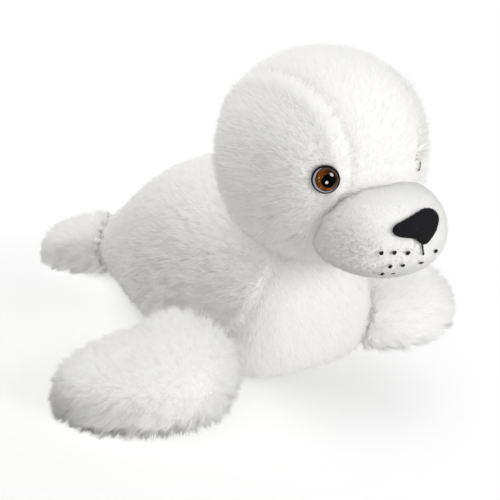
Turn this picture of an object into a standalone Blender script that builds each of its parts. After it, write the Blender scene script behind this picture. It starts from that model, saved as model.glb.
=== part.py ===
"""A stuffed toy seal that lies on its belly, about 36 cm from nose to hind flippers.

It faces -Y, with +Z up, and stands on z = 0. Each stuffed piece is one solid, because its cover is sewn
shut over its filling: a body, a ball-shaped head, a muzzle, two front flippers and two hind flippers. The
nose is a flocked pad sewn on the muzzle. Each eye is one plastic moulding, whose ribbed shank goes through
the cover into the head, where a washer pushed over it locks the eye in place.
"""

import bmesh
import bpy
from math import acos, atan2, cos, exp, pi, radians, sin
from mathutils import Matrix, Vector
from mathutils.bvhtree import BVHTree

# Fit between pieces that are sewn or clamped together
SEAM_GAP = 0.0003

# Body: rows from the chest to the rump, as (place along Y, half width, top, bottom) in metres.
# A bottom below the floor is flattened by it, which makes the belly's resting patch.
BODY_ROWS = (
    (-0.0140, 0.0000, 0.0400, 0.0400),
    (-0.0125, 0.0260, 0.0640, 0.0160),
    (-0.0050, 0.0420, 0.0800, 0.0030),
    (0.0080, 0.0530, 0.0930, -0.0090),
    (0.0300, 0.0595, 0.1040, -0.0110),
    (0.0600, 0.0635, 0.1120, -0.0110),
    (0.0920, 0.0625, 0.1120, -0.0110),
    (0.1230, 0.0555, 0.1020, -0.0110),
    (0.1520, 0.0455, 0.0850, -0.0110),
    (0.1790, 0.0365, 0.0655, -0.0100),
    (0.2030, 0.0300, 0.0470, -0.0080),
    (0.2230, 0.0215, 0.0330, -0.0050),
    (0.2350, 0.0120, 0.0230, 0.0020),
    (0.2390, 0.0000, 0.0130, 0.0130),
)
BODY_WIDEST = 0.45
UPPER_FULLNESS, LOWER_FULLNESS = 2.2, 2.7

# Seam between each side panel and the belly panel, sunk into the body under these places: (out from
# the middle, along Y, height) in metres
BODY_SEAM = (
    (0.0300, -0.0040, 0.0920),
    (0.0340, -0.0100, 0.0820),
    (0.0430, -0.0060, 0.0620),
    (0.0510, 0.0020, 0.0430),
    (0.0570, 0.0160, 0.0270),
    (0.0600, 0.0500, 0.0190),
    (0.0590, 0.0920, 0.0180),
    (0.0430, 0.1520, 0.0180),
    (0.0290, 0.2000, 0.0170),
    (0.0110, 0.2360, 0.0140),
)
SEAM_DEPTH = 0.0020
SEAM_ROUND = 0.0032
SEAM_STEPS = 36

# Head: a ball that is sunk a little way into the top of the body
HEAD_WIDTH = 0.122
HEAD_DEPTH = 0.120
HEAD_HEIGHT = 0.124
HEAD_FULLNESS = 2.12
NECK_SINK = 0.023
NECK_PLACE = 0.020
HEAD_FORWARD = 0.020
HEAD_ROLL = radians(5.0)
HEAD_TURN = radians(3.0)
HEAD_SIDE = 0.0080

# Crown gusset: the strip of cover over the top of the head, between two seams
GUSSET_HALF_CROWN = 0.0355
GUSSET_HALF_BROW = 0.0250
GUSSET_SEAM_DEPTH = 0.0024
GUSSET_SEAM_WIDTH = radians(4.0)
GUSSET_MIDDLE, GUSSET_REACH = radians(72.0), radians(76.0)
GUSSET_FADE = radians(7.0)

# Muzzle: a short plump snout with its back hollowed by the head
MUZZLE_HALF_WIDTH = 0.0395
MUZZLE_HALF_DEPTH = 0.0430
MUZZLE_HALF_HEIGHT = 0.0290
MUZZLE_FULLNESS = 2.25
MUZZLE_FORWARD = 0.0510
MUZZLE_DROP = 0.0290

# Nose: a flocked pad cut to a rounded triangle and sewn on a little askew. Each row of its outline is a
# place the edge is drawn towards: across, and up from the muzzle's middle
NOSE_THICKNESS = 0.0028
NOSE_SIDE = -0.0025
NOSE_TILT = radians(-10.0)
NOSE_OUTLINE = (
    (0.0, 0.0170),
    (0.0060, 0.0175),
    (0.0115, 0.0170),
    (0.0160, 0.0150),
    (0.0165, 0.0110),
    (0.0135, 0.0075),
    (0.0080, 0.0035),
    (0.0030, 0.0005),
    (0.0, 0.0),
    (-0.0020, 0.0025),
    (-0.0055, 0.0060),
    (-0.0110, 0.0075),
    (-0.0155, 0.0090),
    (-0.0170, 0.0115),
    (-0.0150, 0.0145),
    (-0.0105, 0.0155),
    (-0.0055, 0.0165),
)

# Eyes: safety eyes on ribbed shanks, with the washers that lock them
EYE_DIAMETER = 0.0165
EYE_DOME = 0.0052
EYE_FLANGE = 0.0012
EYE_SHANK_DIAMETER = 0.0046
EYE_SHANK_LENGTH = 0.0140
EYE_RIB_PITCH = 0.0030
EYE_RIB = 0.0005
EYE_SIDE = radians(38.0)
EYE_RISE = radians(0.5)
EYE_SEAT = 0.0024
EYE_DENT = 0.0022
WASHER_DIAMETER = 0.0130
WASHER_THICKNESS = 0.0014
COVER_THICKNESS = 0.0022

# Front flippers: rows from root to tip, as (out from the middle, along Y, half width, top) in metres
FRONT_ROWS = (
    (0.0400, 0.0420, 0.0000, 0.0200),
    (0.0460, 0.0400, 0.0200, 0.0330),
    (0.0600, 0.0350, 0.0280, 0.0380),
    (0.0780, 0.0215, 0.0365, 0.0370),
    (0.1000, 0.0090, 0.0455, 0.0360),
    (0.1230, 0.0100, 0.0440, 0.0350),
    (0.1430, 0.0190, 0.0335, 0.0320),
    (0.1560, 0.0280, 0.0190, 0.0270),
    (0.1610, 0.0305, 0.0000, 0.0150),
)
FRONT_SWING = {"right": radians(0.0), "left": radians(12.0)}
FRONT_TUCK = {"right": 0.0, "left": 0.0380}
FRONT_SET_BACK = {"right": 0.0, "left": 0.0020}
FRONT_DIMPLE = 0.0050
FRONT_DIMPLE_REACH = 0.0100
FRONT_DIMPLE_PLACE = 0.62

# Hind flippers: rows from root to tip, in the same four sizes
HIND_ROWS = (
    (0.0080, 0.2060, 0.0000, 0.0200),
    (0.0130, 0.2130, 0.0180, 0.0330),
    (0.0200, 0.2250, 0.0240, 0.0360),
    (0.0280, 0.2370, 0.0260, 0.0330),
    (0.0345, 0.2480, 0.0240, 0.0280),
    (0.0390, 0.2570, 0.0150, 0.0220),
    (0.0410, 0.2610, 0.0000, 0.0120),
)
FLIPPER_FULLNESS = 2.5
FLIPPER_UNDER = 0.0070
FLIPPER_TURN = 0.25

# Number of points round and along each stuffed form, and the row of the head's points on each gusset seam
BODY_MESH = (40, 30)
HEAD_MESH = (36, 30)
GUSSET_ROW = 10
MUZZLE_MESH = (30, 16)
FRONT_MESH = (22, 18)
HIND_MESH = (20, 14)
EYE_STEPS = 20
NOSE_STEPS = 2


def power(value, exponent):
    return abs(value) ** exponent * (1 if value >= 0 else -1)


def read_rows(rows, along):
    """The row at a place from 0 to 1 along a list of rows, on a smooth curve through them."""
    place = min(max(along, 0.0), 1.0) * (len(rows) - 1)
    first = min(int(place), len(rows) - 2)
    part = place - first
    before = rows[max(first - 1, 0)]
    start, end = rows[first], rows[first + 1]
    after = rows[min(first + 2, len(rows) - 1)]
    found = []
    for a, b, c, d in zip(before, start, end, after):
        bend = 2 * a - 5 * b + 4 * c - d
        twist = 3 * b - a - 3 * c + d
        found.append(b + 0.5 * part * (c - a + part * (bend + part * twist)))
    return found


def stuffed(name, mesh_steps, shape):
    """A closed ball of cover, each of whose points goes where shape(along, around) says."""
    around_steps, along_steps = mesh_steps
    form = bmesh.new()
    bmesh.ops.create_uvsphere(form, u_segments=around_steps, v_segments=along_steps, radius=1.0)
    for vert in form.verts:
        along = acos(min(max(vert.co.z, -1.0), 1.0)) / pi
        around = atan2(vert.co.y, vert.co.x)
        vert.co = shape(along, around)
    return finish(name, form)


def finish(name, form):
    """The form as an object, with its faces pointing out."""
    if form.calc_volume(signed=True) < 0:
        bmesh.ops.reverse_faces(form, faces=form.faces)
    mesh = bpy.data.meshes.new(name)
    form.to_mesh(mesh)
    form.free()
    mesh.shade_smooth()
    piece = bpy.data.objects.new(name, mesh)
    bpy.context.scene.collection.objects.link(piece)
    return piece


def hide(piece):
    piece.hide_render = True
    piece.display_type = "WIRE"


def cutter_from(piece, name, growth):
    """A hidden copy of a form, every face of it moved outwards by the growth."""
    form = bmesh.new()
    form.from_mesh(piece.data)
    form.normal_update()
    places = [vert.co + vert.normal * growth * vert.calc_shell_factor() for vert in form.verts]
    for vert, place in zip(form.verts, places):
        vert.co = place
    cutter = finish(name, form)
    cutter.parent = piece.parent
    cutter.location = piece.location
    hide(cutter)
    return cutter


def combine(piece, cutter, operation="DIFFERENCE"):
    cut = piece.modifiers.new(cutter.name, "BOOLEAN")
    cut.operation = operation
    cut.solver = "EXACT"
    cut.object = cutter


def coat(piece, colour, roughness, coat_weight=0.0):
    material = bpy.data.materials.new(piece.name)
    material.use_nodes = True
    shader = material.node_tree.nodes["Principled BSDF"]
    shader.inputs["Base Color"].default_value = (*colour, 1.0)
    shader.inputs["Roughness"].default_value = roughness
    shader.inputs["Metallic"].default_value = 0.0
    shader.inputs["Coat Weight"].default_value = coat_weight
    piece.data.materials.append(material)


# Body
def body_shape(along, around):
    place, half_width, top, bottom = read_rows(BODY_ROWS, along)
    middle = bottom + BODY_WIDEST * (top - bottom)
    upper = sin(around) >= 0
    fullness = UPPER_FULLNESS if upper else LOWER_FULLNESS
    reach = top - middle if upper else middle - bottom
    across = half_width * power(cos(around), 2 / fullness)
    rise = reach * power(sin(around), 2 / fullness)
    return Vector((across, place, max(middle + rise, 0.0)))


def body_top(place):
    """The height of the back at a place along Y."""
    steps = [read_rows(BODY_ROWS, step / 400) for step in range(401)]
    return min(steps, key=lambda row: abs(row[0] - place))[2]


def seam_cutter(name, cover, side):
    """A bent rod that lies along one body seam, sunk in the cover by the seam's depth."""
    form = bmesh.new()
    form.from_mesh(cover.data)
    surface = BVHTree.FromBMesh(form)
    form.free()
    path = bpy.data.curves.new(name, "CURVE")
    path.dimensions = "3D"
    path.bevel_depth = SEAM_ROUND
    path.bevel_resolution = 1
    path.use_fill_caps = True
    spline = path.splines.new("POLY")
    spline.points.add(SEAM_STEPS)
    for step, spot in enumerate(spline.points):
        out, back, height = read_rows(BODY_SEAM, step / SEAM_STEPS)
        place, outwards, _, _ = surface.find_nearest(Vector((side * out, back, height)))
        spot.co = (*(place + outwards * (SEAM_ROUND - SEAM_DEPTH)), 1.0)
    rod = bpy.data.objects.new(name + "_path", path)
    bpy.context.scene.collection.objects.link(rod)
    form = bmesh.new()
    form.from_mesh(rod.to_mesh())
    bmesh.ops.remove_doubles(form, verts=form.verts, dist=1e-6)
    bpy.data.objects.remove(rod)
    cutter = finish(name, form)
    cutter.parent = cover.parent
    hide(cutter)
    return cutter


# Head, with its poles on the X axis so that the gusset seams are rows of its points
EYE_AIM = Vector((sin(EYE_SIDE) * cos(EYE_RISE), -cos(EYE_SIDE) * cos(EYE_RISE), sin(EYE_RISE)))


def head_radius(aim):
    """The distance from the head's centre to its cover in a direction, before seams and dents."""
    halves = (HEAD_WIDTH / 2, HEAD_DEPTH / 2, HEAD_HEIGHT / 2)
    total = sum((abs(part) / half) ** HEAD_FULLNESS for part, half in zip(aim, halves))
    return total ** (-1 / HEAD_FULLNESS)


def head_shape(along, around):
    # around is 0 at the face, a quarter turn at the crown, and half a turn at the neck
    crown = sin(min(abs(around), pi / 2)) ** 2
    half = GUSSET_HALF_BROW + (GUSSET_HALF_CROWN - GUSSET_HALF_BROW) * crown
    seam = acos(half / (HEAD_WIDTH / 2))
    seam_row = GUSSET_ROW / HEAD_MESH[1] * pi
    polar = along * pi
    mirrored = polar > pi / 2
    if mirrored:
        polar = pi - polar
    if polar <= seam_row:
        polar = polar * seam / seam_row
    else:
        polar = seam + (polar - seam_row) * (pi / 2 - seam) / (pi / 2 - seam_row)
    side = -1 if mirrored else 1
    aim = Vector((side * cos(polar), -sin(polar) * cos(around), sin(polar) * sin(around)))
    radius = head_radius(aim)
    # The gusset ends at the nape, so the seam groove fades below the crown and behind the cheeks
    shown = 1 / (1 + exp((abs(around - GUSSET_MIDDLE) - GUSSET_REACH) / GUSSET_FADE))
    radius -= GUSSET_SEAM_DEPTH * shown * exp(-(((polar - seam) / GUSSET_SEAM_WIDTH) ** 2))
    eye = Vector((side * EYE_AIM.x, EYE_AIM.y, EYE_AIM.z))
    away = aim.angle(eye) * radius
    radius -= EYE_DENT * exp(-((away / EYE_DIAMETER) ** 2))
    return aim * radius


# Muzzle, with its poles on the Y axis
def muzzle_shape(along, around):
    polar = along * pi
    aim = Vector((sin(polar) * cos(around), -cos(polar), sin(polar) * sin(around)))
    halves = (MUZZLE_HALF_WIDTH, MUZZLE_HALF_DEPTH, MUZZLE_HALF_HEIGHT)
    total = sum((abs(part) / half) ** MUZZLE_FULLNESS for part, half in zip(aim, halves))
    return aim * total ** (-1 / MUZZLE_FULLNESS)


def flipper_shape(rows, side, swing=0.0, shift=(0.0, 0.0), dimple=0.0):
    """A flat pad along its rows. It swings in plan about its root, and the floor flattens its underside."""
    root = Vector(rows[0][:2])
    turn = Matrix.Rotation(swing, 2)

    def centre(along):
        out, back, half_width, top = read_rows(rows, along)
        return root + Vector(shift) + turn @ (Vector((out, back)) - root), half_width, top

    def shape(along, around):
        middle, half_width, top = centre(along)
        ahead, behind = min(along + FLIPPER_TURN, 1.0), max(along - FLIPPER_TURN, 0.0)
        run = centre(ahead)[0] - centre(behind)[0]
        run.normalize()
        across = Vector((-run.y, run.x))
        wide = half_width * power(cos(around), 2 / FLIPPER_FULLNESS)
        level = 0.5 * (top - FLIPPER_UNDER)
        thick = 0.5 * (top + FLIPPER_UNDER) * (1.0 if half_width > 0 else 0.0)
        height = level + thick * power(sin(around), 2 / FLIPPER_FULLNESS)
        if dimple and sin(around) > 0:
            spot = centre(FRONT_DIMPLE_PLACE)[0]
            away = (middle + across * wide - spot).length
            height -= dimple * exp(-((away / FRONT_DIMPLE_REACH) ** 2))
        spot = middle + across * wide
        return Vector((side * max(spot.x, SEAM_GAP), spot.y, max(height, 0.0)))

    return shape


def nose_prism():
    """The nose seen from the front, as a prism of its outline that goes through the muzzle's face."""
    outline = bpy.data.curves.new("nose_outline", "CURVE")
    outline.dimensions = "2D"
    outline.fill_mode = "BOTH"
    outline.resolution_u = NOSE_STEPS
    outline.extrude = 0.6 * MUZZLE_HALF_DEPTH
    spline = outline.splines.new("NURBS")
    spline.points.add(len(NOSE_OUTLINE) - 1)
    spline.order_u = 3
    spline.use_cyclic_u = True
    for spot, (across, height) in zip(spline.points, NOSE_OUTLINE):
        spot.co = (across, height, 0.0, 1.0)
    drawn = bpy.data.objects.new("nose_outline", outline)
    bpy.context.scene.collection.objects.link(drawn)
    form = bmesh.new()
    form.from_mesh(drawn.to_mesh())
    bmesh.ops.remove_doubles(form, verts=form.verts, dist=1e-6)
    bpy.data.objects.remove(drawn)
    set_on = Matrix.Translation((NOSE_SIDE, -0.9 * MUZZLE_HALF_DEPTH, 0.0))
    form.transform(set_on @ Matrix.Rotation(NOSE_TILT, 4, "Y") @ Matrix.Rotation(pi / 2, 4, "X"))
    return finish("nose", form)


def turned(name, profile, steps):
    """A round piece about the Z axis, from (radius, height) points that start and end on the axis."""
    form = bmesh.new()
    verts = [form.verts.new((radius, 0.0, height)) for radius, height in profile]
    edges = [form.edges.new(pair) for pair in zip(verts, verts[1:])]
    bmesh.ops.spin(
        form, geom=verts + edges, cent=(0, 0, 0), axis=(0, 0, 1), angle=2 * pi, steps=steps, use_merge=True
    )
    bmesh.ops.remove_doubles(form, verts=form.verts, dist=1e-6)
    return finish(name, form)


def eye_profile(growth):
    """From the back of the shank to the top of the dome, with every wall moved out by the growth."""
    shank = EYE_SHANK_DIAMETER / 2 + growth
    rim = EYE_DIAMETER / 2 + growth
    tip = -EYE_SHANK_LENGTH - growth
    points = [(0.0, tip), (shank - EYE_RIB, tip)]
    ribs = int((EYE_SHANK_LENGTH - 0.004) / EYE_RIB_PITCH)
    for rib in range(ribs):
        base = tip + EYE_RIB_PITCH / 2 + EYE_RIB_PITCH * rib
        points += [(shank, base), (shank, base + EYE_RIB_PITCH * 0.3)]
        if growth == 0.0:
            points.append((shank - EYE_RIB, base + EYE_RIB_PITCH * 0.4))
    points += [(shank, -growth), (rim, -growth), (rim, EYE_FLANGE)]
    for step in range(1, 7):
        angle = pi / 2 * step / 6
        points.append((rim * cos(angle) if step < 6 else 0.0, EYE_FLANGE + (EYE_DOME + growth) * sin(angle)))
    return points


def washer_profile(growth):
    inner = EYE_SHANK_DIAMETER / 2 + SEAM_GAP - growth
    outer = WASHER_DIAMETER / 2 + growth
    front = -COVER_THICKNESS + growth
    back = -COVER_THICKNESS - WASHER_THICKNESS - growth
    return inner, outer, front, back


def washer(name, growth):
    inner, outer, front, back = washer_profile(growth)
    form = bmesh.new()
    verts = [form.verts.new((radius, 0.0, height)) for radius, height in
             ((inner, front), (outer, front), (outer, back), (inner, back))]
    edges = [form.edges.new((verts[step], verts[(step + 1) % 4])) for step in range(4)]
    bmesh.ops.spin(
        form,
        geom=verts + edges,
        cent=(0, 0, 0),
        axis=(0, 0, 1),
        angle=2 * pi,
        steps=EYE_STEPS,
        use_merge=True,
    )
    bmesh.ops.remove_doubles(form, verts=form.verts, dist=1e-6)
    return finish(name, form)


# The scene is emptied, and the whole toy hangs from one empty
for old in list(bpy.data.objects):
    bpy.data.objects.remove(old)
seal = bpy.data.objects.new("seal", None)
bpy.context.scene.collection.objects.link(seal)

# Body and the head's place on it
body = stuffed("body", BODY_MESH, body_shape)
body.parent = seal
coat(body, (0.86, 0.855, 0.845), 0.95)
head_pose = bpy.data.objects.new("head_pose", None)
bpy.context.scene.collection.objects.link(head_pose)
head_pose.parent = seal
head_level = body_top(NECK_PLACE) + HEAD_HEIGHT / 2 - NECK_SINK
head_pose.location = (HEAD_SIDE, NECK_PLACE - HEAD_FORWARD, head_level)
head_pose.rotation_euler = (0.0, HEAD_ROLL, HEAD_TURN)

head = stuffed("head", HEAD_MESH, head_shape)
head.parent = head_pose
coat(head, (0.87, 0.865, 0.855), 0.95)
combine(body, cutter_from(head, "head_seat", SEAM_GAP))
for side, name in ((-1, "seam_right"), (1, "seam_left")):
    combine(body, seam_cutter(name, body, side))

# Muzzle, hollowed at the back by the head
muzzle = stuffed("muzzle", MUZZLE_MESH, muzzle_shape)
muzzle.parent = head_pose
muzzle.location = (0.0, -MUZZLE_FORWARD, -MUZZLE_DROP)
coat(muzzle, (0.82, 0.815, 0.81), 0.9)
nose_shell = cutter_from(muzzle, "nose_shell", NOSE_THICKNESS)
nose_bed = cutter_from(muzzle, "nose_bed", SEAM_GAP)
combine(muzzle, cutter_from(head, "muzzle_seat", SEAM_GAP))

# Nose: a prism of its outline, kept only where it lies in the shell over the muzzle
nose = nose_prism()
nose.parent = head_pose
nose.location = muzzle.location
coat(nose, (0.012, 0.012, 0.014), 0.85)
combine(nose, nose_shell, "INTERSECT")
combine(nose, nose_bed)

# Eyes and their washers, both clamped to the head's cover
for side, name in ((-1, "right"), (1, "left")):
    aim = Vector((side * EYE_AIM.x, EYE_AIM.y, EYE_AIM.z))
    place = aim * (head_radius(aim) - EYE_DENT - EYE_SEAT + EYE_FLANGE)
    turn = aim.to_track_quat("Z", "Y")
    eye = turned("eye_" + name, eye_profile(0.0), EYE_STEPS)
    coat(eye, (0.16, 0.055, 0.012), 0.12, 1.0)
    eye_bed = turned("eye_bed_" + name, eye_profile(SEAM_GAP), EYE_STEPS)
    lock = washer("eye_washer_" + name, 0.0)
    coat(lock, (0.75, 0.75, 0.74), 0.45)
    lock_bed = washer("eye_washer_bed_" + name, SEAM_GAP)
    for piece in (eye, eye_bed, lock, lock_bed):
        piece.parent = head_pose
        piece.location = place
        piece.rotation_mode = "QUATERNION"
        piece.rotation_quaternion = turn
    for bed in (eye_bed, lock_bed):
        hide(bed)
        combine(head, bed)

# Front and hind flippers, each hollowed at its root by the body
body_seat = cutter_from(body, "flipper_seat", SEAM_GAP)
for side, name in ((-1, "right"), (1, "left")):
    shift = (-FRONT_TUCK[name], FRONT_SET_BACK[name])
    shape = flipper_shape(FRONT_ROWS, side, FRONT_SWING[name], shift, FRONT_DIMPLE)
    front = stuffed("front_flipper_" + name, FRONT_MESH, shape)
    hind = stuffed("hind_flipper_" + name, HIND_MESH, flipper_shape(HIND_ROWS, side))
    for flipper in (front, hind):
        flipper.parent = seal
        coat(flipper, (0.86, 0.855, 0.845), 0.95)
        combine(flipper, body_seat)

# The toy is centred on its own box, which stands on the floor
bpy.context.view_layer.update()
graph = bpy.context.evaluated_depsgraph_get()
corners = []
for piece in bpy.data.objects:
    if piece.type == "MESH" and not piece.hide_render:
        solid = piece.evaluated_get(graph)
        corners += [solid.matrix_world @ vert.co for vert in solid.data.vertices]
middle = [
    (min(point[axis] for point in corners) + max(point[axis] for point in corners)) / 2
    for axis in (0, 1)
]
seal.location = (-middle[0], -middle[1], 0.0)
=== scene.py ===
"""The looks of a plush seal: stuffed covers, white pile, domed amber eyes, a flocked nose and stitches."""

from math import cos, pi, radians, sin

import bmesh
import bpy
import numpy as np
from mathutils import Euler, Matrix, Vector
from mathutils.bvhtree import BVHTree
from mathutils.kdtree import KDTree


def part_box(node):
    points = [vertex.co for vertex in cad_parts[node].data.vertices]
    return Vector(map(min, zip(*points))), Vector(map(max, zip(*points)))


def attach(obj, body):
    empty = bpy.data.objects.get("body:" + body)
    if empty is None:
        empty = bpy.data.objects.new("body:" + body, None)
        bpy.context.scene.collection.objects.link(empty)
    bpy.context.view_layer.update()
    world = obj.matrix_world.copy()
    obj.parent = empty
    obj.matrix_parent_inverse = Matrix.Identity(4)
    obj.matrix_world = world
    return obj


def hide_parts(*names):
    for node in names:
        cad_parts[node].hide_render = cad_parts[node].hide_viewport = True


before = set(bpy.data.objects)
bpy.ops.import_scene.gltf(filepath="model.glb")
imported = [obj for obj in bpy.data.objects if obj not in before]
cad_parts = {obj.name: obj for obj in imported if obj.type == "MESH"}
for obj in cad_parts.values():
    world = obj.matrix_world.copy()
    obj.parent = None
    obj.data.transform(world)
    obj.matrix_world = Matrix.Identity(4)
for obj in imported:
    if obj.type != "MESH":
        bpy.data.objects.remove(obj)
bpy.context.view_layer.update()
scene = bpy.context.scene

# Stuffed covers
# The body, head, muzzle and flippers are each sewn from knitted pile fabric and filled tight with polyester
# fibre. A cover starts from its solid, is blown up by cloth pressure, and sinks by the depth of its pile.
COVER_VOXEL = {
    "body": 0.0055,
    "head": 0.0045,
    "muzzle": 0.0035,
    "front_flipper_right": 0.0045,
    "front_flipper_left": 0.0045,
    "hind_flipper_right": 0.0040,
    "hind_flipper_left": 0.0040,
}
PILE_DEPTH = {"body": 0.0016, "head": 0.0016, "muzzle": 0.0008}
FLIPPER_PILE_DEPTH = 0.0026
COVER_SWELL = 0.0022
FLOOR_CLEARANCE = 0.0006
FILLING_STEPS = 20


class Wire:
    """A socket's output, which adds a Math node wherever it is used in a sum."""

    def __init__(self, tree, socket):
        self.tree = tree
        self.socket = socket

    def sum(self, operation, first, second):
        node = self.tree.nodes.new("ShaderNodeMath")
        node.operation = operation
        for slot, value in zip(node.inputs, (first, second)):
            if isinstance(value, Wire):
                self.tree.links.new(value.socket, slot)
            else:
                slot.default_value = value
        return Wire(self.tree, node.outputs[0])

    def __add__(self, other):
        return self.sum("ADD", self, other)

    def __radd__(self, other):
        return self.sum("ADD", other, self)

    def __sub__(self, other):
        return self.sum("SUBTRACT", self, other)

    def __rsub__(self, other):
        return self.sum("SUBTRACT", other, self)

    def __mul__(self, other):
        return self.sum("MULTIPLY", self, other)

    def __rmul__(self, other):
        return self.sum("MULTIPLY", other, self)

    def __pow__(self, other):
        return self.sum("POWER", self, other)

    def __gt__(self, other):
        return self.sum("GREATER_THAN", self, other)


class Look:
    """A material with its Principled shader, and a way to add nodes in front of it."""

    def __init__(self, name, colour, roughness, **values):
        self.material = bpy.data.materials.new(name)
        self.material.use_nodes = True
        self.tree = self.material.node_tree
        self.shader = self.tree.nodes["Principled BSDF"]
        self.set(self.shader, {"Base Color": colour, "Roughness": roughness, **values})

    def set(self, node, values):
        for slot, value in values.items():
            place = node.inputs[slot]
            if isinstance(value, Wire):
                self.tree.links.new(value.socket, place)
            elif isinstance(value, tuple) and len(value) == 3 and place.type == "RGBA":
                place.default_value = (*value, 1.0)
            else:
                place.default_value = value

    def node(self, kind, settings, values, output=0):
        node = self.tree.nodes.new(kind)
        for name, value in settings.items():
            setattr(node, name, value)
        self.set(node, values)
        return Wire(self.tree, node.outputs[output])

    def blend(self, share, first, second):
        """One colour turning into another; inputs 6 and 7 and output 2 of a Mix node are its colours."""
        return self.node("ShaderNodeMix", {"data_type": "RGBA"}, {0: share, 6: first, 7: second}, 2)

    def part(self, vector, axis):
        return self.node("ShaderNodeSeparateXYZ", {}, {"Vector": vector}, axis)

    def roughen(self, place, scale, detail, strength, distance):
        """A fine uneven surface, as of flock or spun thread."""
        grain = {"Vector": place, "Scale": scale, "Detail": detail}
        height = self.node("ShaderNodeTexNoise", {}, grain, 0)
        relief = {"Strength": strength, "Distance": distance, "Height": height}
        self.set(self.shader, {"Normal": self.node("ShaderNodeBump", {}, relief)})


def placed(name, mesh):
    piece = bpy.data.objects.new(name, mesh)
    scene.collection.objects.link(piece)
    return piece


def mesh_of(form, name):
    mesh = bpy.data.meshes.new(name)
    form.to_mesh(mesh)
    form.free()
    return mesh


def apply_modifiers(piece):
    graph = bpy.context.evaluated_depsgraph_get()
    mesh = bpy.data.meshes.new_from_object(piece.evaluated_get(graph))
    piece.modifiers.clear()
    piece.data = mesh


def read_points(mesh, field="co"):
    values = np.empty(len(mesh.vertices) * 3, np.float32)
    mesh.vertices.foreach_get(field, values)
    return values.reshape(-1, 3).astype(float)


def write_points(mesh, points):
    mesh.vertices.foreach_set("co", points.astype(np.float32).ravel())
    mesh.update()


def unit(vectors):
    return vectors / np.maximum(np.linalg.norm(vectors, axis=-1, keepdims=True), 1e-9)


head_low, head_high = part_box("head")
head_centre = (head_low + head_high) / 2
head_turn = Euler((0.0, radians(5.0), radians(3.0))).to_matrix()
# The backing is a little darker than the pile's tips: painted shade for its depth under the strands
cloth_look = Look("plush_backing", (0.84, 0.835, 0.82), 0.95).material

covers = {}
for name, voxel in COVER_VOXEL.items():
    form = bmesh.new()
    form.from_mesh(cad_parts[name].data)
    if name == "head":
        for inner in ("eye_right", "eye_left", "eye_washer_right", "eye_washer_left"):
            form.from_mesh(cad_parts[inner].data)
    cover = placed(name + "_cover", mesh_of(form, name + "_cover"))
    remesh = cover.modifiers.new("Even", "REMESH")
    remesh.mode = "VOXEL"
    remesh.voxel_size = voxel
    relax = cover.modifiers.new("Relax", "SMOOTH")
    relax.iterations = 4
    apply_modifiers(cover)
    covers[name] = cover

before = {name: read_points(cover.data) for name, cover in covers.items()}
for cover in covers.values():
    cloth = cover.modifiers.new("Filling", "CLOTH")
    cloth.settings.quality = 5
    cloth.settings.mass = 0.3
    cloth.settings.use_pressure = True
    cloth.settings.uniform_pressure_force = 4.0
    cloth.settings.effector_weights.gravity = 0.0
    cloth.collision_settings.use_collision = False
    cloth.point_cache.frame_end = FILLING_STEPS
for step in range(1, FILLING_STEPS + 1):
    scene.frame_set(step)
for cover in covers.values():
    apply_modifiers(cover)
scene.frame_set(1)

for name, cover in covers.items():
    moved = read_points(cover.data) - before[name]
    size = np.linalg.norm(moved, axis=1, keepdims=True)
    share = np.minimum(1.0, COVER_SWELL / np.maximum(size, 1e-9))
    write_points(cover.data, before[name] + moved * share)
    finer = cover.modifiers.new("Finer", "SUBSURF")
    finer.levels = finer.render_levels = 1
    apply_modifiers(cover)
    depth = PILE_DEPTH.get(name, FLIPPER_PILE_DEPTH)
    points = read_points(cover.data) - read_points(cover.data, "normal") * depth
    points[:, 2] = np.maximum(points[:, 2], FLOOR_CLEARANCE)
    write_points(cover.data, points)
    cover.data.materials.clear()
    cover.data.materials.append(cloth_look)
    cover.data.shade_smooth()


# Eye sockets
# Each eye is drawn against the head by the washer on its shank, so the cover dips under the eye's flange.
# The eyes look forwards and well out to the sides.
EYE_TURN = radians(38.0)
EYE_LIFT = radians(0.5)
SOCKET_RADIUS = 0.0150
SOCKET_SLOPE = 0.0060
FLANGE_DEPTH = 0.0074
FAR_SIDE = -0.030


def eye_place(name, side):
    """The top of an eye's dome and the way the eye looks."""
    aim = head_turn @ Vector((side * sin(EYE_TURN), -cos(EYE_TURN), sin(EYE_LIFT))).normalized()
    points = read_points(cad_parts[name].data)
    middle = Vector(points.mean(axis=0))
    top = float((points @ np.array(aim)).max())
    return middle + aim * (top - middle.dot(aim)), aim


def about_eye(points, top, aim):
    """How high points stand along an eye's axis, and how far they are from it."""
    away = points - np.array(top)
    height = away @ np.array(aim)
    return height, np.linalg.norm(away - np.outer(height, aim), axis=1)


eyes = {"eye_right": eye_place("eye_right", -1), "eye_left": eye_place("eye_left", 1)}
points = read_points(covers["head"].data)
for top, aim in eyes.values():
    height, radius = about_eye(points, top, aim)
    share = np.clip((SOCKET_RADIUS - radius) / SOCKET_SLOPE, 0.0, 1.0)
    sink = np.maximum(height + FLANGE_DEPTH, 0.0) * (height > FAR_SIDE)
    points -= np.outer(share * sink, aim)
write_points(covers["head"].data, points)

for name, cover in covers.items():
    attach(cover, "root")
    inner = {"head": ("eye_washer_right", "eye_washer_left")}.get(name, ())
    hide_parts(name, *inner)


# Pile
# The plush is a knitted fabric whose pile of fine white fibre stands in small tufts. Every strand is one
# thin blade with a front and a back, rooted in its cover, and the tips of a tuft lean together. A blade is
# shaded much as the cover under it and throws no shadow of its own. Its colour darkens towards its root,
# which is painted shade for the shadow that the strands throw on each other.
blade = bmesh.new()
bmesh.ops.create_circle(blade, cap_ends=True, segments=3, radius=1.0)
blade.faces.ensure_lookup_table()
blade.normal_update()
BLADE = np.array([vert.co for vert in blade.faces[0].verts])
if blade.faces[0].normal.z <= 0.0:
    BLADE = BLADE[::-1]
blade.free()
BLADE_DEPTH = 0.000003
ROOT_DEPTH = 0.0004
LOWEST_TIP = (0.0002, 0.0015)
LOWEST_ROOT = 0.0001


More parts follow.
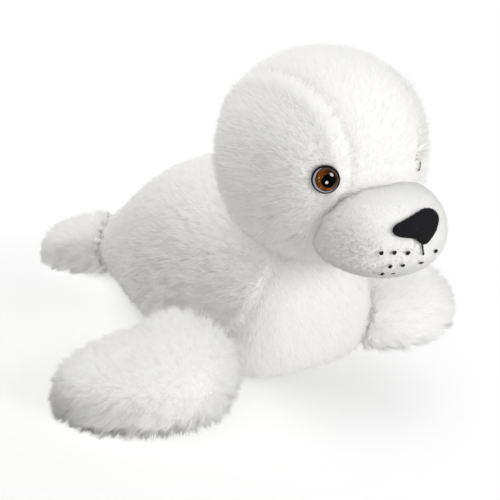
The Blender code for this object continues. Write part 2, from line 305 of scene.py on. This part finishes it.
def scatter(cover, count, chance):
    """Places spread over a cover by area, and the cover's normals there."""
    mesh = cover.data
    mesh.calc_loop_triangles()
    corners = np.empty(len(mesh.loop_triangles) * 3, np.int32)
    mesh.loop_triangles.foreach_get("vertices", corners)
    corners = corners.reshape(-1, 3)
    at, out = read_points(mesh), read_points(mesh, "normal")
    a, b, c = (at[corners[:, step]] for step in range(3))
    area = np.linalg.norm(np.cross(b - a, c - a), axis=1)
    pick = chance.choice(len(corners), size=count, p=area / area.sum())
    u, v = chance.random((2, count))
    over = u + v > 1.0
    u, v = np.where(over, 1.0 - u, u), np.where(over, 1.0 - v, v)
    weights = np.stack([1.0 - u - v, u, v], axis=1)[:, :, None]
    return (at[corners[pick]] * weights).sum(axis=1), unit((out[corners[pick]] * weights).sum(axis=1))


def pile_look(name, root, tip, roughness=0.9):
    """Painted shade, darker at the root of each strand for the shadow among strands, with a little spread of
    tone from strand to strand.
    """
    made = Look(name, tip, roughness, **{"Specular IOR Level": 0.15})
    place = made.node("ShaderNodeUVMap", {"uv_map": "OFBake"}, {})
    across = made.part(place, "X")
    along = made.part(place, "Y")
    # share runs from root to tip: the darker root colour is painted shade for the shadow among the strands
    share = along ** 0.6 * (1.0 - across * 0.35)
    made.set(made.shader, {"Base Color": made.blend(share, root, tip)})
    return made.material


def surface_of(*pieces):
    points, faces = [], []
    for piece in pieces:
        start = len(points)
        points += [vert.co.copy() for vert in piece.data.vertices]
        faces += [tuple(start + index for index in face.vertices) for face in piece.data.polygons]
    return BVHTree.FromPolygons(points, faces)


def clear_of(places, others, margin):
    """Which places lie outside the other pieces by at least the margin."""
    open_air = np.ones(len(places), bool)
    for other in others:
        surface = surface_of(other)
        at = read_points(other.data)
        near = np.all((places > at.min(axis=0) - margin) & (places < at.max(axis=0) + margin), axis=1)
        for index in np.flatnonzero(near & open_air):
            place = Vector(places[index])
            spot, out, _, _ = surface.find_nearest(place)
            if (place - spot).dot(out) < margin:
                open_air[index] = False
    return open_air


def along_skin(vectors, out):
    return unit(vectors - out * (vectors * out).sum(axis=1, keepdims=True))


def grow_pile(
    name,
    material,
    places,
    out,
    comb,
    length,
    chance,
    width=0.00034,
    lean=0.7,
    stray=0.3,
    tuft=16,
    pull=0.4,
    curl=0.0,
    roll=0.5,
):
    """Strands at the places: comb is the lie of the pile, and pull is how far a tuft's tips lean together."""
    count = len(places)
    wild = chance.normal(size=(count, 3))
    way = unit(out + comb * lean + wild * stray)
    reach = length * chance.uniform(0.75, 1.15, count)
    tips = places + way * reach[:, None]
    leaders = chance.choice(count, size=max(count // tuft, 1), replace=False)
    tree = KDTree(len(leaders))
    for index, leader in enumerate(leaders):
        tree.insert(places[leader], index)
    tree.balance()
    own = leaders[np.array([tree.find(place)[1] for place in places])]
    twist = along_skin(chance.normal(size=(count, 3)), out)[own] * curl
    led = places[own] + unit(out[own] + comb[own] * lean + twist) * reach[:, None]
    tips = tips + (led - tips) * (pull * chance.uniform(0.5, 1.3, count))[:, None]
    tips = places + unit(tips - places) * reach[:, None]
    tips[:, 2] = np.maximum(tips[:, 2], chance.uniform(*LOWEST_TIP, count))
    axis = unit(tips - places)
    flat = unit(np.cross(axis, out))
    rolled = chance.normal(size=count)[:, None] * roll
    side = flat * np.cos(rolled) + np.cross(axis, flat) * np.sin(rolled)
    root = places - out * ROOT_DEPTH
    under = np.cross(axis, side) * BLADE_DEPTH
    points = np.empty((count, 6, 3))
    tone = chance.uniform(0.02, 0.97, count)
    at = np.empty((count, 6, 2))
    for step, (x, y, z) in enumerate((*BLADE, *BLADE[::-1])):
        points[:, step] = tips if y > 0.5 else root + side * width * np.sign(x)
        points[:, step] += under * (step > 2)
        at[:, step, 0] = tone + x * 0.002
        at[:, step, 1] = 0.98 if y > 0.5 else 0.02
    points[:, :, 2] = np.maximum(points[:, :, 2], LOWEST_ROOT)
    mesh = bpy.data.meshes.new(name)
    mesh.from_pydata(points.reshape(-1, 3).tolist(), [], np.arange(count * 6).reshape(-1, 3).tolist())
    layer = mesh.uv_layers.new(name="OFBake")
    layer.uv.foreach_set("vector", at.astype(np.float32).ravel())
    mesh.materials.append(material)
    mesh.shade_smooth()
    facing = unit(out + axis * 0.35 + wild * 0.15)
    mesh.normals_split_custom_set_from_vertices(np.repeat(facing, 6, axis=0).tolist())
    piece = placed(name, mesh)
    piece.visible_shadow = False
    piece.visible_diffuse = False
    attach(piece, "root")
    return piece


# Head pile
# The head's pile is fine and close, brushed back from the muzzle. The panels at its sides bulge along the
# crown's two seams, so that their pile hangs over the seam, and the pile in the seam is short.
HEAD_PILE_LENGTH = 0.0072
GUSSET_HALF = 0.0250
GUSSET_HALF_CROWN = 0.0355
GUSSET_MIDDLE = radians(72.0)
GUSSET_REACH = radians(76.0)
GUSSET_FADE = radians(7.0)
EYE_OPENING = {"eye_right": 0.0080, "eye_left": 0.0070}
EYE_PARTING = {"eye_right": 1.0, "eye_left": 0.15}
pile_white = pile_look("white_pile", (0.74, 0.73, 0.70), (0.955, 0.95, 0.935))


def raised(cover, points, rise):
    """The cover with its points moved out along its normals."""
    write_points(cover.data, points + read_points(cover.data, "normal") * rise[:, None])


def hump(values, middle, width):
    return np.exp(-(((values - middle) / width) ** 2))


def gusset_offset(places):
    """How far a place on the head lies outside the nearer crown seam, and which way the seam is."""
    local = (places - np.array(head_centre)) @ np.array(head_turn)
    around = np.arctan2(local[:, 2], -local[:, 1])
    crown = np.sin(np.clip(np.abs(around), 0.0, pi / 2)) ** 2
    half = GUSSET_HALF + (GUSSET_HALF_CROWN - GUSSET_HALF) * crown
    shown = 1.0 / (1.0 + np.exp((np.abs(around - GUSSET_MIDDLE) - GUSSET_REACH) / GUSSET_FADE))
    across = np.outer(-np.sign(local[:, 0]), np.array(head_turn)[:, 0])
    return np.abs(local[:, 0]) - half, shown, across


points = read_points(covers["head"].data)
offset, shown, _ = gusset_offset(points)
swell = 0.0022 * hump(offset, 0.0055, 0.0040) - 0.0022 * hump(offset, -0.0003, 0.0022)
raised(covers["head"], points, swell * shown)
chance = np.random.default_rng(11)
places, out = scatter(covers["head"], 130000, chance)
keep = clear_of(places, (covers["muzzle"], covers["body"]), 0.0002)
for name, (top, aim) in eyes.items():
    height, radius = about_eye(places, top, aim)
    keep &= (radius > EYE_OPENING[name]) | (height < FAR_SIDE)
places, out = places[keep][:96000], out[keep][:96000]
muzzle_low, muzzle_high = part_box("muzzle")
muzzle_front = (muzzle_low + muzzle_high) / 2
muzzle_front.y = muzzle_low.y
comb = along_skin(places - np.array(muzzle_front), out)
offset, shown, across = gusset_offset(places)
over = shown * hump(offset, 0.004, 0.0035) * (offset > 0.0)
comb = unit(comb + along_skin(across, out) * over[:, None] * 1.6)
length = HEAD_PILE_LENGTH * (1.0 + 0.25 * over - 0.55 * shown * hump(offset, -0.0015, 0.0018))
for name, (top, aim) in eyes.items():
    radius = np.linalg.norm(places - np.array(top), axis=1)
    parted = EYE_PARTING[name]
    length *= 1.0 - 0.45 * parted * hump(radius, 0.008, 0.006)
    apart = along_skin(places - np.array(top), out) * hump(radius, 0.0, 0.014)[:, None]
    comb = unit(comb + apart * 2.0 * parted)
brushed = {"lean": 0.9, "stray": 0.4, "tuft": 20, "pull": 0.45, "curl": 0.5}
head_pile = grow_pile("head_pile", pile_white, places, out, comb, length, chance, **brushed)

# Body pile
# The side panels' pile is rubbed into small curls. The belly and chest panel's lies combed downwards, and
# it starts at the side seam, where the side panels' pile ends in a ridge.
BODY_SEAM = (
    (0.0300, -0.0040, 0.0920),
    (0.0340, -0.0100, 0.0820),
    (0.0430, -0.0060, 0.0620),
    (0.0510, 0.0020, 0.0430),
    (0.0570, 0.0160, 0.0270),
    (0.0600, 0.0500, 0.0190),
    (0.0590, 0.0920, 0.0180),
    (0.0430, 0.1520, 0.0180),
    (0.0290, 0.2000, 0.0170),
    (0.0110, 0.2360, 0.0140),
)
SEAM_START = 0.0140
BODY_PILE_LENGTH = 0.0070
UNDERSIDE = -0.75
UNDERSIDE_SHARE = 0.25
body_low, body_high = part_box("body")
body_middle = (body_low.x + body_high.x) / 2
seam_rows = np.array(BODY_SEAM)
steps = np.linspace(0.0, len(seam_rows) - 1.0, 240)
rows = np.arange(len(seam_rows))
seam_line = np.stack([np.interp(steps, rows, column) for column in seam_rows.T], axis=1)
seam_line[:, 1] += body_low.y + SEAM_START
seam_run = unit(np.gradient(seam_line, axis=0))
tree = KDTree(len(seam_line))
for index, place in enumerate(seam_line):
    tree.insert(place, index)
tree.balance()


def seam_offset(places, out):
    """How far a place on the body lies above the nearer side seam: less than 0 on the belly and chest."""
    mirrored = places.copy()
    mirrored[:, 0] = np.abs(places[:, 0] - body_middle)
    turned = out.copy()
    turned[:, 0] *= np.where(places[:, 0] < body_middle, -1.0, 1.0)
    near = np.array([tree.find(place)[1] for place in mirrored])
    up = unit(np.cross(turned, seam_run[near]))
    return ((mirrored - seam_line[near]) * up).sum(axis=1)


points = read_points(covers["body"].data)
offset = seam_offset(points, read_points(covers["body"].data, "normal"))
swell = 0.0006 * hump(offset, 0.0050, 0.0050) - 0.0010 * hump(offset, -0.0005, 0.0022)
raised(covers["body"], points, swell)
chance = np.random.default_rng(12)
places, out = scatter(covers["body"], 220000, chance)
flippers = [covers[name] for name in COVER_VOXEL if "flipper" in name]
keep = clear_of(places, [covers["head"], covers["muzzle"], *flippers], -0.0025)
keep &= (out[:, 2] > UNDERSIDE) | (chance.random(len(places)) < UNDERSIDE_SHARE)
places, out = places[keep], out[keep]
offset = seam_offset(places, out)
curled = {"lean": 0.7, "stray": 0.3, "tuft": 30, "pull": 0.55, "curl": 0.9}
combed = {"lean": 1.2, "stray": 0.35, "tuft": 20, "pull": 0.35, "curl": 0.3}
for name, part, limit, seed, lie, at_ridge, style in (
    ("side_pile", offset > 0.0, 98000, 13, (0.0, 0.6, -0.5), 0.1, curled),
    ("belly_pile", offset <= 0.0, 60000, 14, (0.0, -0.1, -1.0), -0.5, combed),
):
    spots, normals = places[part][:limit], out[part][:limit]
    chance = np.random.default_rng(seed)
    comb = along_skin(np.tile(lie, (len(spots), 1)), normals)
    length = BODY_PILE_LENGTH * (1.0 + at_ridge * hump(offset[part][:limit], 0.0, 0.004))
    pile = grow_pile(name, pile_white, spots, normals, comb, length, chance, **style)

# Flipper pile
# The flippers wear the longest pile. It is shaggy and lies outwards from the root, in tufts that part. The
# knitted backing lies under the strands' lower ends, where only their parting tips ever show it.
ROOT_HEIGHT = 0.02
shaggy = {"lean": 0.9, "stray": 0.35, "tuft": 40, "pull": 0.6, "curl": 0.7}
BACKING_SUNK = {"head": 0.0020, "body": 0.0026, "muzzle": 0.0}
FLIPPER_BACKING_SUNK = 0.0040
for name, count, length, seed in (
    ("front_flipper_right", 62000, 0.0105, 21),
    ("front_flipper_left", 35000, 0.0095, 22),
    ("hind_flipper_right", 19000, 0.0085, 23),
    ("hind_flipper_left", 17000, 0.0085, 24),
):
    chance = np.random.default_rng(seed)
    places, out = scatter(covers[name], count * 2, chance)
    keep = clear_of(places, (covers["body"],), -0.0035)
    keep &= (out[:, 2] > UNDERSIDE) | (chance.random(len(places)) < UNDERSIDE_SHARE)
    places, out = places[keep][:count], out[keep][:count]
    low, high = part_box(name)
    root = Vector((body_middle, high.y if "front" in name else low.y, ROOT_HEIGHT))
    comb = along_skin(places - np.array(root), out)
    lengths = np.full(len(places), length)
    pile = grow_pile(name + "_pile", pile_white, places, out, comb, lengths, chance, **shaggy)

for name, cover in covers.items():
    sunk = BACKING_SUNK.get(name, FLIPPER_BACKING_SUNK)
    raised(cover, read_points(cover.data), np.full(len(cover.data.vertices), -sunk))

# Muzzle pile
# The muzzle is of a shorter, smoother plush, sheared like velvet, and a little greyer than the rest. Its
# pile is pressed down where the whisker stitches are pulled in.
WHISKERS = (
    (-23.1, -87.1, -30.9),
    (-16.7, -90.7, -30.9),
    (-8.9, -93.0, -32.1),
    (-17.0, -87.6, -40.1),
    (-10.0, -90.4, -40.1),
    (-17.5, -81.4, -46.4),
    (12.9, -91.4, -36.2),
)
MUZZLE_PILE_LENGTH = 0.0019
MILLIMETRE = 0.001
whisker_spots = [head_centre + Vector(spot) * MILLIMETRE for spot in WHISKERS]
chance = np.random.default_rng(31)
places, out = scatter(covers["muzzle"], 85000, chance)
keep = clear_of(places, (covers["head"],), 0.0002)
places, out = places[keep][:42000], out[keep][:42000]
comb = along_skin(places - np.array(muzzle_front), out)
length = np.full(len(places), MUZZLE_PILE_LENGTH)
for spot in whisker_spots:
    length *= 1.0 - 0.75 * np.exp(-(np.linalg.norm(places - np.array(spot), axis=1) / 0.0014) ** 4)
velvet = pile_look("short_pile", (0.72, 0.715, 0.69), (0.865, 0.86, 0.84))
sheared = {"width": 0.00026, "lean": 0.5, "stray": 0.3, "tuft": 30, "pull": 0.2}
pile = grow_pile("muzzle_pile", velvet, places, out, comb, length, chance, **sheared)


# Nose
# The nose is a pad of black flock sewn on the muzzle, with pale specks scattered over it.
FLOCK_BLACK = (0.012, 0.012, 0.014)
PALE_SPECK = (0.30, 0.28, 0.25)
FLOCK_LENGTH = 0.0007
nose = placed("nose_pad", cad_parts["nose"].data.copy())
remesh = nose.modifiers.new("Even", "REMESH")
remesh.mode = "VOXEL"
remesh.voxel_size = 0.0007
relax = nose.modifiers.new("Relax", "SMOOTH")
relax.iterations = 6
apply_modifiers(nose)
black = Look("black_flock", FLOCK_BLACK, 0.85, **{"Specular IOR Level": 0.1})
place = black.node("ShaderNodeTexCoord", {}, {}, "Object")
fleck = black.node("ShaderNodeTexVoronoi", {}, {"Vector": place, "Scale": 900.0}, "Distance")
rare = black.node("ShaderNodeTexNoise", {}, {"Vector": place, "Scale": 260.0, "Detail": 2.0}, 0)
speck = (rare > 0.62) * (1.0 - (fleck > 0.16))
black.set(black.shader, {"Base Color": black.blend(speck, FLOCK_BLACK, PALE_SPECK)})
black.roughen(place, 1400.0, 4.0, 0.8, 0.0004)
nose.data.materials.clear()
nose.data.materials.append(black.material)
nose.data.shade_smooth()
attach(nose, "root")
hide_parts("nose")
chance = np.random.default_rng(41)
places, out = scatter(nose, 8000, chance)
comb = along_skin(chance.normal(size=places.shape), out)
flock_look = pile_look("flock_fibre", (0.010, 0.010, 0.011), (0.022, 0.021, 0.022), 0.8)
length = np.full(len(places), FLOCK_LENGTH)
flocked = {"width": 0.00012, "lean": 0.5, "stray": 0.4, "tuft": 40, "pull": 0.1}
flock = grow_pile("nose_flock", flock_look, places, out, comb, length, chance, **flocked)


# Eyes
# Each eye is one moulding: a black back with a rim, and a glossy dome over a glittering amber iris round a
# black pupil, set a little off the middle. On the iris, the shade across one side and along its rim is
# painted shade, and the pale crescent beside it is a painted reflection of the white room in the dome's side.
# Its ribbed shank is in the head.
EYE_RADIUS = 0.00825
IRIS_RADIUS = 0.0074
DOME_HEIGHT = 0.0047
FAR_EYE_SINK = 0.0046
IRIS_SHIFT = (0.0009, 0.0008)
PUPIL_SHIFT = (0.0013, 0.0004)
PRINT_BLACK = (0.002, 0.002, 0.002)
# Painted reflection: the pale ground outside the iris stands for the white room seen in the dome's side
PAINTED_PALE_REFLECTION = (0.34, 0.34, 0.42)
PRINT_AMBER = (0.105, 0.026, 0.003)
PRINT_AMBER_LIGHT = (0.29, 0.095, 0.014)
PRINT_GLITTER = (0.85, 0.60, 0.38)
# Painted shade: the iris darkens across one side and in a band along its rim
PAINTED_SIDE_SHADE = (0.028, 0.008, 0.003)
PAINTED_RIM_SHADE = (0.035, 0.012, 0.005)


def turned(name, profile, steps, matrix, material, map_radius=None):
    """A round piece about the eye's axis, from (radius, height) pairs that start and end on it."""
    form = bmesh.new()
    verts = [form.verts.new((radius, 0.0, height)) for radius, height in profile]
    edges = [form.edges.new(pair) for pair in zip(verts, verts[1:])]
    whole = {"cent": (0, 0, 0), "axis": (0, 0, 1), "angle": 2 * pi, "use_merge": True}
    bmesh.ops.spin(form, geom=verts + edges, steps=steps, **whole)
    bmesh.ops.remove_doubles(form, verts=form.verts, dist=1e-6)
    if form.calc_volume(signed=True) < 0:
        bmesh.ops.reverse_faces(form, faces=form.faces)
    if map_radius:
        layer = form.loops.layers.uv.new("face_on")
        for face in form.faces:
            for loop in face.loops:
                spot = loop.vert.co
                loop[layer].uv = (0.5 + spot.x / map_radius / 2, 0.5 + spot.y / abs(map_radius) / 2)
    form.transform(matrix)
    mesh = mesh_of(form, name)
    mesh.shade_smooth()
    mesh.materials.append(material)
    piece = placed(name, mesh)
    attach(piece, "root")
    return piece


back_look = Look("eye_back", (0.006, 0.006, 0.007), 0.6, **{"Specular IOR Level": 0.2}).material
lacquer = {"Specular IOR Level": 0.0, "Coat Weight": 1.0, "Coat Roughness": 0.03}
iris = Look("iris", (0.30, 0.10, 0.02), 0.5, **lacquer)
place = iris.node("ShaderNodeUVMap", {"uv_map": "face_on"}, {})


def ring_of(across, up):
    """The distance from a place on the print, in shares of the iris's radius."""
    middle = (0.5 + across / IRIS_RADIUS / 2, 0.5 + up / IRIS_RADIUS / 2, 0.0)
    away = iris.node("ShaderNodeVectorMath", {"operation": "SUBTRACT"}, {0: place, 1: middle})
    return iris.node("ShaderNodeVectorMath", {"operation": "LENGTH"}, {0: away}, "Value") * 2.0


def step_at(value, low, high):
    ends = {"Value": value, "From Min": low, "From Max": high}
    return iris.node("ShaderNodeMapRange", {}, ends, "Result")


flake = iris.node("ShaderNodeTexVoronoi", {}, {"Vector": place, "Scale": 34.0}, "Color")
flake = iris.part(flake, "X")
warm = iris.blend(flake ** 2.0, PRINT_AMBER, PRINT_AMBER_LIGHT)
warm = iris.blend(flake > 0.975, warm, PRINT_GLITTER)
# Painted shade across one side of the iris
painted_shade_slope = iris.part(place, "X") + iris.part(place, "Y") * 0.55
warm = iris.blend(step_at(painted_shade_slope, 0.72, 1.12), warm, PAINTED_SIDE_SHADE)
whole = ring_of(*IRIS_SHIFT)
# Painted shade in a band along the iris's rim
warm = iris.blend(step_at(whole, 0.80, 0.92), warm, PAINTED_RIM_SHADE)
# Painted reflection: the pale crescent outside the off-centre iris
iris_with_painted_light = iris.blend(step_at(whole, 0.93, 0.95), warm, PAINTED_PALE_REFLECTION)
pupil = step_at(ring_of(*PUPIL_SHIFT), 0.56, 0.52)
iris.set(iris.shader, {"Base Color": iris.blend(pupil, iris_with_painted_light, PRINT_BLACK)})
for name, (top, aim) in eyes.items():
    far = name == "eye_left"
    facing = aim.to_track_quat("Z", "Y").to_matrix().to_4x4()
    stand = Matrix.Translation(top - aim * FAR_EYE_SINK * far) @ facing
    back = (
        (0.0, -0.0085),
        (0.0023, -0.0085),
        (0.0023, -0.0070),
        (EYE_RADIUS, -0.0066),
        (EYE_RADIUS, -0.0050),
        (EYE_RADIUS - 0.0004, -0.0046),
        (IRIS_RADIUS + 0.0001, -0.0050),
        (IRIS_RADIUS, -0.0058),
        (0.0, -0.0060),
    )
    piece = turned(name + "_back", back, 48, stand, back_look)
    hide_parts(name)
    dome = [(0.0, -0.0056), (IRIS_RADIUS, -0.0056)]
    for step in range(10):
        angle = pi / 20 * step
        dome.append((IRIS_RADIUS * cos(angle), -DOME_HEIGHT + DOME_HEIGHT * sin(angle)))
    dome.append((0.0, 0.0))
    print_radius = -IRIS_RADIUS if far else IRIS_RADIUS
    turned(name + "_dome", dome, 48, stand, iris.material, print_radius)

# Stitches
# Black thread makes the whisker spots, which are knots pulled into the muzzle, the line under the nose, the
# short mouth and a stitch at the chin.
WHISKER_PASSES = ((-0.0005, 0.0011), (0.0001, 0.0013), (0.0006, 0.0008))
WHISKER_THREAD = (0.00065, 0.0003)
MOUTH_THREAD = (0.00058, 0.0005)
CHIN_THREAD = (0.00032, 0.0001)
MOUTH_HALF = 0.0017
CHIN_HALF = 0.0016
muzzle_skin = surface_of(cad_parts["muzzle"])
thread_look = Look("black_thread", (0.016, 0.013, 0.012), 0.7, **{"Specular IOR Level": 0.2})
place = thread_look.node("ShaderNodeTexCoord", {}, {}, "Object")
thread_look.roughen(place, 1800.0, 3.0, 0.7, 0.0003)


def thread(form, start, end, radius, lift):
    """One pass of thread from place to place on the muzzle, thinner where it goes in."""
    run = end - start
    middle = (start + end) / 2
    spot, out, _, _ = muzzle_skin.find_nearest(middle)
    turn = run.to_track_quat("X", "Z").to_matrix().to_4x4()
    made = bmesh.ops.create_uvsphere(form, u_segments=10, v_segments=8, radius=1.0)
    scale = Matrix.Diagonal((run.length / 2 + radius * 0.6, radius, radius, 1.0))
    laid = Matrix.Translation(spot + out * lift) @ turn @ scale
    bmesh.ops.transform(form, matrix=laid, verts=made["verts"])


def stitched(name, passes):
    form = bmesh.new()
    for start, end, radius, lift in passes:
        thread(form, start, end, radius, lift)
    mesh = mesh_of(form, name)
    mesh.shade_smooth()
    mesh.materials.append(thread_look.material)
    piece = placed(name, mesh)
    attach(piece, "root")


across = head_turn @ Vector((1.0, 0.0, 0.0))
down = head_turn @ Vector((0.0, 0.0, -1.0))
passes = []
for spot in whisker_spots:
    for shift, reach in WHISKER_PASSES:
        centre = spot + down * shift
        passes.append((centre - across * reach, centre + across * reach, *WHISKER_THREAD))
stitched("whisker_stitches", passes)


def head_spot(x, y, z):
    return head_centre + Vector((x, y, z)) * MILLIMETRE


nose_tip, line_low = head_spot(-0.2, -96.7, -27.6), head_spot(2.3, -93.0, -35.6)
passes = []
for step in range(4):
    start = nose_tip.lerp(line_low, step / 4)
    end = nose_tip.lerp(line_low, (step + 1) / 4)
    passes.append((start, end, *MOUTH_THREAD))
mouth = head_spot(2.8, -90.7, -41.1)
passes.append((mouth - across * MOUTH_HALF, mouth + across * MOUTH_HALF, *MOUTH_THREAD))
chin = head_spot(-11.8, -84.4, -46.7)
passes.append((chin - across * CHIN_HALF, chin + across * CHIN_HALF, *CHIN_THREAD))
stitched("mouth_stitches", passes)

# Floor and light
# The toy lies on a white sheet in a white room. Soft lights hang overhead, in front and behind, and a wide
# one stands for the room. The sheet keeps the toy's shadow near it and is pure white further off. Two bright
# windows of the room show only in the eyes.
SHADOW_NEAR = 0.12
SHADOW_FAR = 0.27
SHEET_GLOW = 0.50
WORLD_LEVEL = 0.25
WINDOW_HIGH = (0.220, -0.815, 0.534)
WINDOW_LOW = (-0.456, -0.853, -0.252)
form = bmesh.new()
bmesh.ops.create_grid(form, x_segments=1, y_segments=1, size=6.0)
floor = placed("floor", mesh_of(form, "floor"))
sheet = Look("white_sheet", (0.90, 0.90, 0.895), 0.9)
glow = sheet.node("ShaderNodeEmission", {}, {"Color": (1.0, 1.0, 1.0), "Strength": 1.0})
seen = sheet.node("ShaderNodeLightPath", {}, {}, "Is Camera Ray")
place = sheet.node("ShaderNodeTexCoord", {}, {}, "Object")
toy_side = (-0.12, 0.0, 0.0)
away = sheet.node("ShaderNodeVectorMath", {"operation": "DISTANCE"}, {0: place, 1: toy_side}, "Value")
ends = {"Value": away, "From Min": SHADOW_NEAR, "From Max": SHADOW_FAR}
bare = sheet.node("ShaderNodeMapRange", {}, ends, "Result")
matt = Wire(sheet.tree, sheet.shader.outputs[0])
# For every ray but the camera's the sheet partly glows, which lights the toy from below as a lamp would
share = seen * bare + (1.0 - seen) * SHEET_GLOW
mixed = sheet.node("ShaderNodeMixShader", {}, {0: share, 1: matt, 2: glow})
sheet.tree.links.new(mixed.socket, sheet.tree.nodes["Material Output"].inputs["Surface"])
floor.data.materials.append(sheet.material)
floor.visible_glossy = False

world = bpy.data.worlds.new("white_room")
world.use_nodes = True
background = world.node_tree.nodes["Background"]
background.inputs["Color"].default_value = (1.0, 1.0, 1.0, 1.0)
rays = world.node_tree.nodes.new("ShaderNodeLightPath")
glossy = Wire(world.node_tree, rays.outputs["Is Glossy Ray"])
through = Wire(world.node_tree, rays.outputs["Is Transmission Ray"])
straight = Wire(world.node_tree, rays.outputs["Is Camera Ray"])
level = WORLD_LEVEL * (1.0 - (glossy + through) * 0.95)
way = world.node_tree.nodes.new("ShaderNodeTexCoord").outputs["Generated"]
for window, half_angle, brightness in ((WINDOW_HIGH, 14.0, 13.5), (WINDOW_LOW, 8.8, 16.8)):
    facing = world.node_tree.nodes.new("ShaderNodeVectorMath")
    facing.operation = "DOT_PRODUCT"
    world.node_tree.links.new(way, facing.inputs[0])
    facing.inputs[1].default_value = Vector(window).normalized()
    inside = Wire(world.node_tree, facing.outputs["Value"]) > cos(radians(half_angle))
    level = level + inside * glossy * brightness
world.node_tree.links.new((level * (1.0 - straight) + straight).socket, background.inputs["Strength"])
scene.world = world


def softbox(name, place, aim_at, size, power):
    light = bpy.data.lights.new(name, "AREA")
    light.shape = "DISK"
    light.size = size
    light.energy = power
    light.cycles.use_multiple_importance_sampling = False
    lamp = placed(name, light)
    lamp.location = place
    lamp.rotation_mode = "QUATERNION"
    lamp.rotation_quaternion = (aim_at - Vector(place)).to_track_quat("-Z", "Y")
    lamp.visible_glossy = False


softbox("overhead", (0.1, 0.0, 1.9), head_centre, 1.2, 12.0)
softbox("front", head_centre + Vector((0.25, -0.95, 0.15)) * 1.5, head_centre, 0.8, 13.3)
softbox("back", head_centre + Vector((-0.30, 0.60, 0.75)) * 1.7, head_centre, 1.8, 16.0)
room = bpy.data.lights.new("room", "SUN")
room.energy = 0.57
room.angle = radians(110.0)
room.cycles.use_multiple_importance_sampling = False
lamp = placed("room", room)
lamp.rotation_euler = (radians(65.0), 0.0, radians(-10.0))
lamp.visible_glossy = False

# Camera
# It stands a metre off, to the toy's right of straight ahead, and looks 21 degrees down.
LOOK_DOWN = radians(21.0)
LOOK_ACROSS = radians(34.5)
camera_data = bpy.data.cameras.new("camera")
camera_data.lens = 120.0
camera_data.sensor_width = 36.0
camera = placed("camera", camera_data)
camera.location = head_centre + Vector((-0.5761, -0.7619, 0.3046))
look = Vector((cos(LOOK_DOWN) * sin(LOOK_ACROSS), cos(LOOK_DOWN) * cos(LOOK_ACROSS), -sin(LOOK_DOWN)))
camera.rotation_mode = "QUATERNION"
camera.rotation_quaternion = look.to_track_quat("-Z", "Y")
scene.camera = camera
scene.view_settings.view_transform = "Standard"
